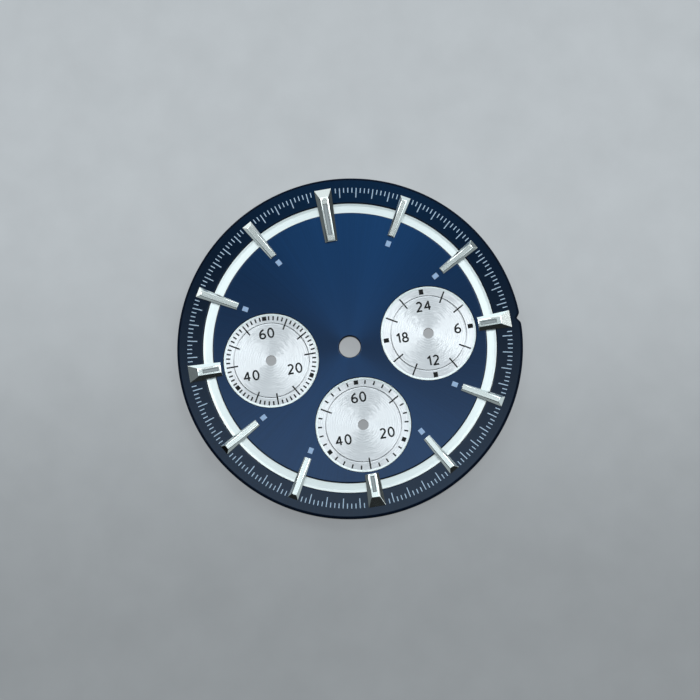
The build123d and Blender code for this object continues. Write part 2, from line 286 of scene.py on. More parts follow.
def noise(tree, place, scale, detail, output="Fac"):
    """A noise pattern over a place."""
    inputs = {"Vector": place, "Scale": scale, "Detail": detail}
    return add_node(tree, "ShaderNodeTexNoise", inputs).outputs[output]


def vary(tree, pattern, least, most):
    """A level that varies with a noise pattern."""
    return ramp(tree, pattern, noise_low, noise_high, least, most)


def bump(tree, height, strength, distance):
    """The normal of a surface that a pattern raises."""
    inputs = {"Height": height, "Strength": strength, "Distance": distance}
    return add_node(tree, "ShaderNodeBump", inputs).outputs["Normal"]


def piece_place(tree):
    """The place on the piece."""
    return add_node(tree, "ShaderNodeTexCoord").outputs["Object"]


def flat_place(tree, centre=(0, 0, 0)):
    """The place on the piece measured from a centre, with no height."""
    shift = [-value for value in centre]
    inputs = {"Vector": piece_place(tree), "Location": shift, "Scale": (1, 1, 0)}
    return add_node(tree, "ShaderNodeMapping", inputs).outputs["Vector"]


def image_parts(tree, place, turn_angle):
    """The X, Y and Z of a place or a direction, once X points right and Y up in the image."""
    turned = add_node(tree, "ShaderNodeMapping", {"Vector": place, "Rotation": (0, 0, turn_angle)})
    return add_node(tree, "ShaderNodeSeparateXYZ", {"Vector": turned.outputs["Vector"]}).outputs


def new_material(name):
    """An empty node material, its tree and its output node."""
    material = bpy.data.materials.new(name)
    material.use_nodes = True
    tree = material.node_tree
    tree.nodes.clear()
    output = add_node(tree, "ShaderNodeOutputMaterial")
    return material, tree, output


def cover(tree, output, inputs):
    """Covers the piece with one shader that has these inputs."""
    shader = add_node(tree, "ShaderNodeBsdfPrincipled", inputs)
    tree.links.new(shader.outputs["BSDF"], output.inputs["Surface"])


def brushed_outwards(tree, base, lines_round, detail, least, most):
    """A colour in fine streaks that point away from the middle, and the direction across them."""
    flat = flat_place(tree)
    across_brushing = reckon_vector(tree, "CROSS_PRODUCT", flat, (0, 0, 1))
    outward = reckon_vector(tree, "NORMALIZE", flat)
    streaks = noise(tree, outward, lines_round, detail)
    return scale_by(tree, base, vary(tree, streaks, least, most)), across_brushing


def sunray_lacquer(name, base):
    """Blue sunray lacquer: brass brushed outwards from the middle, coloured, under a clear gloss coat.

    The brushing throws a soft bright fan that turns with the light, and the coat adds a sharp faint gloss.
    """
    brush_pitch = 0.10 * mm  # coarser than the real lines, so that they show
    radius = 10 * mm
    material, tree, output = new_material(name)
    blue, across_brushing = brushed_outwards(tree, base, radius / brush_pitch, 3.0, 0.92, 1.08)
    inputs = {
        "Base Color": blue,
        "Metallic": 1.0,
        "Roughness": 0.42,
        "Anisotropic": 0.9,
        "Tangent": across_brushing,
        "Coat Weight": 1.0,
        "Coat Roughness": 0.08,
        "Coat IOR": 1.37,
    }
    cover(tree, output, inputs)
    return material


def brushed_steel(name, base):
    """Steel brushed along the markers, which point outwards: a soft sheen with fine lines."""
    brush_pitch = 0.07 * mm  # coarser than the real lines, so that they show
    radius = 13 * mm
    material, tree, output = new_material(name)
    grey, across_brushing = brushed_outwards(tree, base, radius / brush_pitch, 2.0, 0.85, 0.97)
    inputs = {
        "Base Color": grey,
        "Metallic": 1.0,
        "Roughness": 0.2,
        "Anisotropic": 0.6,
        "Tangent": across_brushing,
    }
    cover(tree, output, inputs)
    return material


def edge_lacquer(name, base):
    """Painted shade for the steep edges of the blue plates and the rim: dark, with almost no shine, standing
    in for their shadow and dark reflections.
    """
    shade_mottle_size = 0.4 * mm
    material, tree, output = new_material(name)
    shade_mottle = noise(tree, piece_place(tree), 1 / shade_mottle_size, 3.0)
    shade = scale_by(tree, base, vary(tree, shade_mottle, 0.8, 1.2))
    cover(tree, output, {"Base Color": shade, "Roughness": 0.45, "Specular IOR Level": 0.02})
    return material


def ink(name, base, roughness):
    """Pad-printed ink: matt, with a faintly uneven surface."""
    grain_size = 0.05 * mm
    material, tree, output = new_material(name)
    grain = noise(tree, piece_place(tree), 1 / grain_size, 1.0)
    shade = scale_by(tree, base, vary(tree, grain, 0.9, 1.05))
    cover(tree, output, {"Base Color": shade, "Roughness": roughness, "Specular IOR Level": 0.2})
    return material


def plain_metal(name, base, roughness, grain_size, bump_height):
    """Metal with a fine even grain: a plain shine, sharp or soft by its roughness."""
    material, tree, output = new_material(name)
    grain = noise(tree, piece_place(tree), 1 / grain_size, 2.0)
    inputs = {
        "Base Color": (*base, 1),
        "Metallic": 1.0,
        "Roughness": vary(tree, grain, roughness * 0.85, roughness * 1.15),
        "Normal": bump(tree, grain, 0.3, bump_height),
    }
    cover(tree, output, inputs)
    return material


def turned_silver(name, base, centre, spread, unsteady):
    """Silver plating over a finely turned face: fine rings, which spread light into two soft lobes.

    The rings here are coarser than the real ones, so that they show as faint arcs. Spread says how far
    light is drawn out across the rings. Unsteady says how much the tool's path wandered, which breaks up
    the lobes.
    """
    ring_pitch = 0.22 * mm
    patch_size = 1.4 * mm
    bend_depth = 14.0  # radians by which a patch shifts the rings
    across_rings = 0.28  # how fast the arcs change across the rings, for each radian of their wave
    along_rings = 4.0  # how fast they change along the rings, for each radian round the middle
    sway_depth = 1.8
    material, tree, output = new_material(name)
    flat = flat_place(tree, centre)
    outward = reckon_vector(tree, "NORMALIZE", flat)
    distance = add_node(tree, "ShaderNodeVectorMath", {0: flat}, operation="LENGTH").outputs["Value"]
    bend = reckon(tree, "MULTIPLY", noise(tree, flat, 1 / patch_size, 1.0), bend_depth)
    rings = reckon(tree, "MULTIPLY_ADD", distance, 2 * pi / ring_pitch, bend)

    # The arcs, which turn the direction in which light is spread
    thin_arcs = reckon(tree, "MULTIPLY", rings, across_rings)
    upward = add_node(tree, "ShaderNodeCombineXYZ", {"Z": thin_arcs}).outputs["Vector"]
    arc_place = reckon_vector(tree, "ADD", scale_by(tree, outward, along_rings), upward)
    arcs = noise(tree, arc_place, 1.0, 1.0, "Color")
    about_zero = reckon_vector(tree, "SUBTRACT", arcs, (0.5, 0.5, 0.5))
    sway = scale_by(tree, about_zero, sway_depth * unsteady)
    spread_way = reckon_vector(tree, "ADD", outward, sway)

    # The rings themselves, which show in patches
    patches = noise(tree, flat, 0.6 / patch_size, 1.0)
    shown = ramp(tree, patches, 0.42, 0.6, 0.1, unsteady)
    height = reckon(tree, "MULTIPLY", reckon(tree, "SINE", rings), shown)
    inputs = {
        "Base Color": scale_by(tree, base, ramp(tree, height, -1.0, 1.0, 0.91, 1.03)),
        "Metallic": 1.0,
        "Roughness": 0.45,
        "Anisotropic": spread,
        "Tangent": spread_way,
        "Normal": bump(tree, height, 0.5, 0.005 * mm),
    }
    cover(tree, output, inputs)
    return material


def finish_piece(bm, name, node, materials, facets=()):
    """Makes the object of a finished mesh, with its normals and finishes, in the place of a CAD node.

    Facets are the faces that stay quite flat, while the rest is shaded smoothly. An edge is kept sharp
    where a level face meets a sloping one, and where the surface turns by more than a gentle angle.
    """
    gentle = radians(32)
    bmesh.ops.remove_doubles(bm, verts=bm.verts[:], dist=mm / 10000)
    bmesh.ops.recalc_face_normals(bm, faces=bm.faces[:])
    for face in bm.faces:
        face.smooth = face not in facets
    for edge in bm.edges:
        flat = [abs(face.normal.z) > 0.99999 for face in edge.link_faces]
        if len(flat) == 2 and (flat[0] != flat[1] or edge.calc_face_angle() > gentle):
            edge.smooth = False
    mesh = bpy.data.meshes.new(name)
    bm.to_mesh(mesh)
    bm.free()
    for material in materials:
        mesh.materials.append(material)
    piece = bpy.data.objects.new(name, mesh)
    bpy.context.scene.collection.objects.link(piece)
    weighted = piece.modifiers.new("Even Shading", "WEIGHTED_NORMAL")
    weighted.keep_sharp = True
    weighted.weight = 90
    weighted.thresh = 0
    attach(piece, "root")
    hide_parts(node)


def turn_to_hour(bm, verts, hour):
    """Turns vertices that lie along +X to the direction of an hour."""
    bmesh.ops.rotate(bm, verts=verts, matrix=Matrix.Rotation(hour_angle(hour), 3, "Z"))


def circle(bm, centre, radius, height, segments):
    """A round loop of edges."""
    made = bmesh.ops.create_circle(
        bm,
        cap_ends=False,
        segments=segments,
        radius=radius,
        matrix=Matrix.Translation((centre[0], centre[1], height)),
    )
    return list({edge for vertex in made["verts"] for edge in vertex.link_edges})


def grow_loop(bm, edges, centre, growth, rise):
    """Extrudes a loop of edges outwards from a centre and upwards, and returns the new loop."""
    made = bmesh.ops.extrude_edge_only(bm, edges=edges)["geom"]
    for vertex in [item for item in made if isinstance(item, bmesh.types.BMVert)]:
        away = Vector((vertex.co.x - centre[0], vertex.co.y - centre[1], 0)).normalized()
        vertex.co += away * growth + Vector((0, 0, rise))
    return [item for item in made if isinstance(item, bmesh.types.BMEdge)]


def round_over(bm, edges, centre, radius, outwards, segments=6):
    """Carries a loop up over a rounded edge, growing outwards round a hole, inwards round a rim."""
    for step in range(segments):
        start, end = [pi / 2 * (step + add) / segments for add in (0, 1)]
        growth = radius * (cos(start) - cos(end)) * outwards
        edges = grow_loop(bm, edges, centre, growth, radius * (sin(end) - sin(start)))
    return edges


def cap(bm, loops):
    """Fills the flat area between loops and keeps its border crisp."""
    edges = [edge for loop in loops for edge in loop]
    bmesh.ops.triangle_fill(bm, use_beauty=True, edges=edges)
    for edge in edges:
        edge.smooth = False


def notch_push(settings, across):
    """How deep the notch reaches in from the rim, at a distance across from its middle."""
    slope = settings.notch_depth / settings.notch_half_mouth
    soft_apex = 0.03 * mm
    soft_shoulder = 0.07 * mm
    depth = settings.notch_depth - slope * (sqrt(across**2 + soft_apex**2) - soft_apex)
    return (depth + sqrt(depth**2 + soft_shoulder**2)) / 2


def cut_notch(bm, settings, from_radius):
    """Pushes the rim in at 3 o'clock, after its edges there are divided to follow the notch."""
    reach = 2 * settings.notch_half_mouth

    def near_notch(vertex):
        return vertex.co.x > from_radius and abs(vertex.co.y) < reach

    along = [
        edge
        for edge in bm.edges
        if all(near_notch(vertex) for vertex in edge.verts)
        and abs(edge.verts[0].co.y - edge.verts[1].co.y) > abs(edge.verts[0].co.x - edge.verts[1].co.x)
        and abs(edge.verts[0].co.z - edge.verts[1].co.z) < mm / 1000
    ]
    bmesh.ops.subdivide_edges(bm, edges=along, cuts=5, use_grid_fill=True)
    for vertex in bm.verts:
        if near_notch(vertex):
            vertex.co.x -= notch_push(settings, vertex.co.y)


class DIAL_OT_base_plate(bpy.types.Operator):
    """Model the base plate with its holes, its chamfered rear edge and the notch at 3 o'clock"""

    bl_idname = "dial.base_plate"
    bl_label = "Base Plate"

    def execute(self, context):
        settings = context.scene.dial_plates
        markers = context.scene.dial_markers
        holes = [((0, 0), centre_hole_radius, centre_hole_steps)]
        holes += [(centre, pinion_hole_radius, pin_steps) for centre in subdial_centres.values()]
        for hour in hours:
            inner, outer = extent(f"marker_{hour:02d}", hour_angle(hour))
            facet = markers.wide_facet if hour in wide_hours else markers.slim_facet
            for radius in (inner + markers.foot_inset, outer - facet):
                centre = (radius * cos(hour_angle(hour)), radius * sin(hour_angle(hour)))
                holes.append((centre, settings.marker_hole_radius, small_hole_steps))
        bm = bmesh.new()
        chamfer = settings.rear_chamfer
        rim = circle(bm, (0, 0), dial_radius - chamfer, base_bottom, rim_steps)
        lower = [rim]
        lower += [circle(bm, centre, radius, base_bottom, count) for centre, radius, count in holes]
        cap(bm, lower)
        rim = grow_loop(bm, rim, (0, 0), chamfer, chamfer)
        grow_loop(bm, rim, (0, 0), 0, base_top - base_bottom - chamfer)
        for loop, (centre, radius, count) in zip(lower[1:], holes):
            grow_loop(bm, loop, centre, 0, base_top - base_bottom)
        cut_notch(bm, settings, dial_radius - 2 * chamfer)
        top_edges = [edge for edge in bm.edges if edge.is_boundary]
        cap(bm, [top_edges])
        plating = plain_metal(
            "plated_brass", settings.plating, roughness=0.32, grain_size=0.06 * mm, bump_height=0.003 * mm
        )
        finish_piece(bm, "blank", "base_plate", [plating])
        return {"FINISHED"}


class DIAL_OT_centre_disc(bpy.types.Operator):
    """Model the blue centre disc with its rounded centre hole and the three openings for the sub-dials"""

    bl_idname = "dial.centre_disc"
    bl_label = "Centre Disc"

    def execute(self, context):
        settings = context.scene.dial_plates
        bm = bmesh.new()
        opening = subdial_radius + settings.side_play
        loops = [((0, 0), disc_radius, -1, settings.ring_edge_round, ring_steps)]
        loops.append(((0, 0), centre_hole_radius, 1, settings.hole_round, centre_hole_steps))
        for centre in subdial_centres.values():
            loops.append((centre, opening, 1, settings.opening_round, opening_steps))
        lower = [circle(bm, centre, radius, base_top, count) for centre, radius, way, soft, count in loops]
        cap(bm, lower)
        upper = []
        for loop, (centre, radius, way, soft, count) in zip(lower, loops):
            wall_top = grow_loop(bm, loop, centre, 0, face_level - base_top - soft)
            upper.append(round_over(bm, wall_top, centre, soft, way))
        cap(bm, upper)
        bm.normal_update()
        # Steep faces, at the edges beside the ring, the hole and the openings, get painted shade
        for face in bm.faces:
            if abs(face.normal.z) < steep:
                face.material_index = 1
        lacquer = sunray_lacquer("sunray_lacquer", settings.lacquer)
        edge = edge_lacquer("disc_edge_lacquer", settings.edge_lacquer)
        finish_piece(bm, "sunray_disc", "centre_disc", [lacquer, edge])
        return {"FINISHED"}


def turn(bm, profile, centre, steps):
    """Turns a closed profile, given as radius and height, once round an upright axis."""
    verts = [bm.verts.new((centre[0] + radius, centre[1], height)) for radius, height in profile]
    edges = [bm.edges.new((verts[index - 1], verts[index])) for index in range(len(verts))]
    bmesh.ops.spin(
        bm,
        geom=verts + edges,
        cent=(centre[0], centre[1], 0),
        axis=(0, 0, 1),
        angle=2 * pi,
        steps=steps,
        use_merge=True,
    )


def bevel_edges(bm, edges, width, segments=2):
    """Bevels edges with evenly rounded segments."""
    bmesh.ops.bevel(
        bm,
        geom=edges,
        offset=width,
        segments=segments,
        affect="EDGES",
        profile=0.5,
        material=-1,
        clamp_overlap=True,
    )


def soften_circle(bm, centre, radius, height, width, segments):
    """Bevels the round edges of a turned piece that lie at one radius and height."""
    near = mm / 1000

    def lies_there(vertex):
        flat = Vector((vertex.co.x - centre[0], vertex.co.y - centre[1]))
        return abs(flat.length - radius) < near and abs(vertex.co.z - height) < near

    edges = [edge for edge in bm.edges if all(lies_there(vertex) for vertex in edge.verts)]
    bevel_edges(bm, edges, width, segments)


class DIAL_OT_minute_track_ring(bpy.types.Operator):
    """Model the blue outer ring with its rounded rim and the notch at 3 o'clock"""

    bl_idname = "dial.minute_track_ring"
    bl_label = "Minute Track Ring"

    def execute(self, context):
        settings = context.scene.dial_plates
        inner = ring_outer_radius + settings.side_play
        profile = (
            (inner, base_top),
            (dial_radius, base_top),
            (dial_radius, face_level),
            (inner, face_level),
        )
        bm = bmesh.new()
        turn(bm, profile, (0, 0), rim_steps)
        soften_circle(bm, (0, 0), dial_radius, face_level, settings.rim_round, 8)
        soften_circle(bm, (0, 0), inner, face_level, settings.ring_edge_round, 6)
        bm.normal_update()
        # The rounded rim and the steep inner edge get painted shade
        for face in bm.faces:
            outside = face.calc_center_median().xy.length > inner + mm
            if abs(face.normal.z) < (level if outside else steep):
                face.material_index = 1
        cut_notch(bm, settings, dial_radius - settings.rim_round * 1.5)
        lacquer = sunray_lacquer("track_lacquer", settings.track_lacquer)
        edge = edge_lacquer("edge_lacquer", settings.edge_lacquer)
        finish_piece(bm, "track_ring", "minute_track_ring", [lacquer, edge])
        return {"FINISHED"}


class DIAL_OT_silver_ring(bpy.types.Operator):
    """Model the sunk silver ring with the bevel at its outer edge"""

    bl_idname = "dial.silver_ring"
    bl_label = "Silver Ring"

    def execute(self, context):
        settings = context.scene.dial_silver
        inner = disc_radius + context.scene.dial_plates.side_play
        floor = base_top + settings.ring_thickness
        bevel_start = ring_outer_radius - settings.ring_bevel_width
        profile = (
            (inner, base_top),
            (ring_outer_radius, base_top),
            (ring_outer_radius, floor + settings.ring_bevel_rise),
            (bevel_start, floor),
            (inner, floor),
        )
        bm = bmesh.new()
        turn(bm, profile, (0, 0), ring_steps)
        satin = turned_silver("satin_silver", settings.satin, (0, 0, 0), spread=0.45, unsteady=0.25)
        finish_piece(bm, "sunk_ring", "silver_ring", [satin])
        return {"FINISHED"}


class DIAL_OT_subdials(bpy.types.Operator):
    """Model the three silver sub-dials, each with a pinion hole, a fine groove and a bevelled edge"""

    bl_idname = "dial.subdials"
    bl_label = "Sub-dials"

    def execute(self, context):
        settings = context.scene.dial_silver
        bevel_start = subdial_radius - settings.bevel_width
        groove, half = settings.groove_radius, settings.groove_half_width
        lip = subdial_floor + settings.bevel_rise
        profile = (
            (pinion_hole_radius, base_top),
            (subdial_radius, base_top),
            (subdial_radius, lip),
            (bevel_start, subdial_floor),
            (groove + half, subdial_floor),
            (groove, subdial_floor - settings.groove_depth),
            (groove - half, subdial_floor),
            (pinion_hole_radius, subdial_floor),
        )
        satin = plain_metal(
            "satin_bevel", settings.satin, roughness=0.5, grain_size=0.1 * mm, bump_height=0.001 * mm
        )
        bright = plain_metal(
            "cut_groove", settings.silver, roughness=0.3, grain_size=0.1 * mm, bump_height=0.001 * mm
        )
        for side in subdial_sides:
            centre = subdial_centres[side]
            bm = bmesh.new()
            turn(bm, profile, centre, subdial_steps)
            soften_circle(bm, centre, subdial_radius, lip, settings.lip_round, 3)
            for face in bm.faces:
                middle = face.calc_center_median()
                reach = (middle - centre).xy.length
                if reach > bevel_start and middle.z > subdial_floor:
                    face.material_index = 1
                elif abs(reach - groove) < half and base_top < middle.z < subdial_floor:
                    face.material_index = 2
            name = f"turned_silver_{side}"
            silver = turned_silver(name, settings.silver, centre, spread=0.82, unsteady=1.0)
            finishes = [silver, satin, bright]
            finish_piece(bm, f"{side}_register", f"{side}_subdial", finishes)
        return {"FINISHED"}


def marker_shape(settings, hour):
    """One hour's marker: widths from the settings, reach and height from its CAD node."""
    node = f"marker_{hour:02d}"
    inner, outer = extent(node, hour_angle(hour))
    across = extent(node, hour_angle(hour) + pi / 2)
    shape = {"inner": inner, "outer": outer, "tip_half": across[1], "top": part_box(node)[1].z}
    kind = "wide" if hour in wide_hours else "slim"
    for size in ("inner_half", "top_half", "facet", "polish"):
        shape[size] = getattr(settings, f"{kind}_{size}")
    if hour == 12:
        shape["inner_half"] = settings.noon_inner_half
    return shape


def lift(bm, face, corners, height):
    """Extrudes a four-cornered face and puts its corners at new places and a new height."""
    starts = [vertex.co.xy for vertex in face.verts]
    made = bmesh.ops.extrude_face_region(bm, geom=[face])["geom"]
    raised = next(item for item in made if isinstance(item, bmesh.types.BMFace))
    moves = {}
    for start, corner in zip(starts, corners):
        nearest = min(raised.verts, key=lambda vertex: (vertex.co.xy - start).length)
        moves[nearest] = (*corner, height)
    for vertex, place in moves.items():
        vertex.co = place
    return raised


def marker_solid(settings, shape):
    """A marker along +X: an upright skirt, sides that slope in to a flat top, and a long end facet."""
    foot = (
        (shape["inner"], -shape["inner_half"]),
        (shape["outer"], -shape["tip_half"]),
        (shape["outer"], shape["tip_half"]),
        (shape["inner"], shape["inner_half"]),
    )
    top_start = shape["inner"] + settings.end_slope
    top_end = shape["outer"] - shape["facet"]
    top = (
        (top_start, -shape["top_half"]),
        (top_end, -shape["top_half"]),
        (top_end, shape["top_half"]),
        (top_start, shape["top_half"]),
    )
    bm = bmesh.new()
    face = bm.faces.new([bm.verts.new((x, y, face_level)) for x, y in foot])
    face = lift(bm, face, foot, face_level + settings.skirt)
    face = lift(bm, face, top, shape["top"])
    return bm, face


def top_face(bm):
    """The largest face that looks straight up."""
    upward = [face for face in bm.faces if face.normal.z > level]
    return max(upward, key=lambda face: face.calc_area())


def cut_slot(bm, settings, hour):
    """Sinks the slot for the grey strip into a wide marker's top, with walls that slope in."""
    strip = f"inlay_{hour:02d}"
    start, end = extent(strip, hour_angle(hour))
    half = extent(strip, hour_angle(hour) + pi / 2)[1]
    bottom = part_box(strip)[0].z
    face = top_face(bm)
    for grow, height in ((settings.slot_wall, None), (0.0, bottom)):
        bmesh.ops.inset_region(bm, faces=[face], thickness=settings.slot_wall / 2, use_even_offset=True)
        low = min(vertex.co.x for vertex in face.verts)
        for vertex in face.verts:
            vertex.co.x = start - grow if vertex.co.x < low + settings.slot_wall else end + grow
            vertex.co.y = half + grow if vertex.co.y > 0 else -half - grow
            if height is not None:
                vertex.co.z = height


class DIAL_OT_markers(bpy.types.Operator):
    """Model the twelve applied markers with their polished edges, slots and fixing feet"""

    bl_idname = "dial.markers"
    bl_label = "Markers"

    def execute(self, context):
        settings = context.scene.dial_markers
        polished = plain_metal(
            "polished_steel", settings.steel, roughness=0.1, grain_size=0.3 * mm, bump_height=0.0005 * mm
        )
        brushed = brushed_steel("brushed_steel", settings.steel)
        least_bend = radians(20)
        for hour in hours:
            shape = marker_shape(settings, hour)
            bm, top = marker_solid(settings, shape)
            bm.normal_update()
            top_edges = list(top.edges)
            bevel_edges(bm, top_edges, shape["polish"])
            bm.normal_update()
            sharp = [
                edge
                for edge in bm.edges
                if len(edge.link_faces) == 2
                and edge.calc_face_angle() > least_bend
                and min(vertex.co.z for vertex in edge.verts) > face_level + settings.skirt / 2
                and max(vertex.co.z for vertex in edge.verts) < shape["top"] - settings.hip_polish / 2
            ]
            bevel_edges(bm, sharp, settings.hip_polish)
            bm.normal_update()
            facets = {
                face
                for face in bm.faces
                if face.calc_area() > shape["polish"] * max(edge.calc_length() for edge in face.edges)
            }
            top_face(bm).material_index = 1
            if hour in wide_hours:
                cut_slot(bm, settings, hour)
            for radius in (shape["inner"] + settings.foot_inset, shape["outer"] - shape["facet"]):
                bmesh.ops.create_cone(
                    bm,
                    cap_ends=True,
                    segments=small_hole_steps,
                    radius1=settings.foot_radius,
                    radius2=settings.foot_radius,
                    depth=face_level - base_bottom,
                    matrix=Matrix.Translation((radius, 0, (face_level + base_bottom) / 2)),
                )
            turn_to_hour(bm, bm.verts[:], hour)
            name = f"marker_{hour:02d}"
            finish_piece(bm, f"applied_{name}", name, [polished, brushed], facets)
        return {"FINISHED"}


def soft_box(bm, low, high, soft):
    """A box between two corners with rounded edges."""
    size = [far - near for near, far in zip(low, high)]
    middle = [(near + far) / 2 for near, far in zip(low, high)]
    place = Matrix.Translation(middle) @ Matrix.Diagonal((*size, 1))
    made = bmesh.ops.create_cube(bm, size=1, matrix=place)["verts"]
    edges = list({edge for vertex in made for edge in vertex.link_edges})
    bevel_edges(bm, edges, soft)


class DIAL_OT_strips(bpy.types.Operator):
    """Model the grey strips that lie in the slots of the wide markers, each with a darker border of painted
    shade from the slot's walls
    """

    bl_idname = "dial.strips"
    bl_label = "Strips"

    def execute(self, context):
        settings = context.scene.dial_markers
        soft = context.scene.dial_trim.square_round
        grey = ink("grey_strip", settings.strip, 0.5)
        shade = ink("strip_shade", settings.strip_shade, 0.5)
        for hour in wide_hours:
            node = f"inlay_{hour:02d}"
            start, end = extent(node, hour_angle(hour))
            half = extent(node, hour_angle(hour) + pi / 2)[1]
            low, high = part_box(node)
            bm = bmesh.new()
            soft_box(bm, (start, -half, low.z), (end, half, high.z), soft)
            bm.normal_update()
            top = [top_face(bm)]
            # The border gets painted shade, where the slot's walls shade the strip
            border = bmesh.ops.inset_region(bm, faces=top, thickness=settings.strip_border)["faces"]
            for face in border:
                face.material_index = 1
            turn_to_hour(bm, bm.verts[:], hour)
            finish_piece(bm, f"strip_{hour:02d}", node, [grey, shade])
        return {"FINISHED"}


class DIAL_OT_hour_squares(bpy.types.Operator):
    """Model the eight pale squares inboard of the slim markers"""

    bl_idname = "dial.hour_squares"
    bl_label = "Hour Squares"

    def execute(self, context):
        settings = context.scene.dial_trim
        verts = frame["nodes"]["hour_squares"].data.vertices
        way = Vector((cos(hour_angle(1)), sin(hour_angle(1)), 0))
        side = Vector((-way.y, way.x, 0))
        nearby = [
            vertex.co for vertex in verts if abs(vertex.co.dot(side)) < mm and vertex.co.dot(way) > 0
        ]
        inner = min(place.dot(way) for place in nearby)
        outer = max(place.dot(way) for place in nearby)
        half = max(place.dot(side) for place in nearby)
        low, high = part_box("hour_squares")
        bm = bmesh.new()
        for hour in hours:
            if hour not in wide_hours:
                before = set(bm.verts)
                soft_box(bm, (inner, -half, low.z), (outer, half, high.z), settings.square_round)
                fresh = [vertex for vertex in bm.verts if vertex not in before]
                turn_to_hour(bm, fresh, hour)
        pale = ink("pale_paint", settings.square, 0.45)
        finish_piece(bm, "pale_squares", "hour_squares", [pale])
        return {"FINISHED"}


class DIAL_OT_printing(bpy.types.Operator):
    """Give the printed track, scales and numerals their ink"""

    bl_idname = "dial.printing"
    bl_label = "Printing"

    def execute(self, context):
        settings = context.scene.dial_trim
        pale = ink("pale_ink", settings.pale_ink, 0.5)
        black = ink("black_ink", settings.black_ink, 0.45)
        inks = {"minute_track_print": pale}
        for side in subdial_sides:
            inks[f"{side}_scale_print"] = black
            inks[f"{side}_numerals"] = black
        for node, material in inks.items():
            mesh = frame["nodes"][node].data
            mesh.materials.clear()
            mesh.materials.append(material)
        return {"FINISHED"}


class DIAL_OT_dial_feet(bpy.types.Operator):
    """Model the two pins under the dial, each with a pad, a solder fillet and a chamfered end"""

    bl_idname = "dial.dial_feet"
    bl_label = "Dial Feet"

    def execute(self, context):
        settings = context.scene.dial_trim
        brass = plain_metal(
            "turned_brass", settings.brass, roughness=0.28, grain_size=0.05 * mm, bump_height=0.003 * mm
        )
        for place in ("upper", "lower"):
            node = f"dial_foot_{place}"
            foot = mount(f"{place}_foot")
            low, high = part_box(node)
            centre = ((low.x + high.x) / 2, (low.y + high.y) / 2)
            pin = foot["dims"]["r_mm"] * mm
            pad = (high.x - low.x) / 2
            pad_bottom = low.z + foot["dims"]["length_mm"] * mm
            fillet, chamfer = settings.foot_fillet, settings.foot_chamfer
            steps = 5
            arc = [pi / 2 * step / steps for step in range(steps + 1)]
            pad_chamfer = chamfer / 4
            profile = [(0, low.z), (pin - chamfer, low.z), (pin, low.z + chamfer)]
            profile += [
                (pin + fillet * (1 - cos(angle)), pad_bottom - fillet * (1 - sin(angle)))
                for angle in arc
            ]
            profile += [(pad - pad_chamfer, pad_bottom), (pad, pad_bottom + pad_chamfer)]
            profile += [(pad, high.z), (0, high.z)]
            bm = bmesh.new()
            turn(bm, profile, centre, pin_steps)
            finish_piece(bm, f"{place}_pin", node, [brass])
        return {"FINISHED"}


def floor_material(settings):
    """Pale matt board, a little uneven, with a soft shadow and painted shade that darkens it to grey towards
    the front.

    Seen by the camera and in reflections it is mostly its own colour, and for the rest it is lit.
    """
    mottle_size = 4 * mm
    glow_share = 0.7
    material, tree, output = new_material("pale_board")
    place = piece_place(tree)
    mottle = noise(tree, place, 1 / mottle_size, 4.0)
    shade = scale_by(tree, settings.floor, vary(tree, mottle, 0.97, 1.03))
    parts = image_parts(tree, place, settings.dial_turn)
    # Painted shade: the board's colour darkens towards the front, where the light is meant to fall off
    painted_falloff = ramp(tree, parts["Y"], -30 * mm, 18 * mm, 0.6, 1.02, "SMOOTHSTEP")
    lit = scale_by(tree, shade, painted_falloff)
    matt = add_node(tree, "ShaderNodeBsdfDiffuse", {"Color": lit}).outputs["BSDF"]
    glow = add_node(tree, "ShaderNodeEmission", {"Color": lit, "Strength": 1.0}).outputs["Emission"]
    rays = add_node(tree, "ShaderNodeLightPath").outputs
    mirrored = reckon(tree, "MAXIMUM", rays["Is Glossy Ray"], rays["Is Transmission Ray"])
    seen = reckon(tree, "MAXIMUM", rays["Is Camera Ray"], mirrored)
    share = reckon(tree, "MULTIPLY", seen, glow_share)
    mixed = add_node(tree, "ShaderNodeMixShader", {0: share, 1: matt, 2: glow})
    tree.links.new(mixed.outputs["Shader"], output.inputs["Surface"])
    return material


def lamp(settings, name, compass, height, size, power):
    """A square soft lamp.

    Its compass is in degrees clockwise from the top of the image, its height in degrees above the floor.
    """
    angle = radians(90 - compass) - settings.dial_turn
    flat = cos(radians(height))
    way = Vector((flat * cos(angle), flat * sin(angle), sin(radians(height))))
    light = bpy.data.lights.new(name, "AREA")
    light.shape = "RECTANGLE"
    light.size, light.size_y = size, size
    light.energy = power
    light.color = (0.94, 1.0, 1.0)
    holder = bpy.data.objects.new(name, light)
    holder.location = way * settings.lamp_distance
    holder.rotation_euler = way.to_track_quat("Z", "Y").to_euler()
    bpy.context.scene.collection.objects.link(holder)


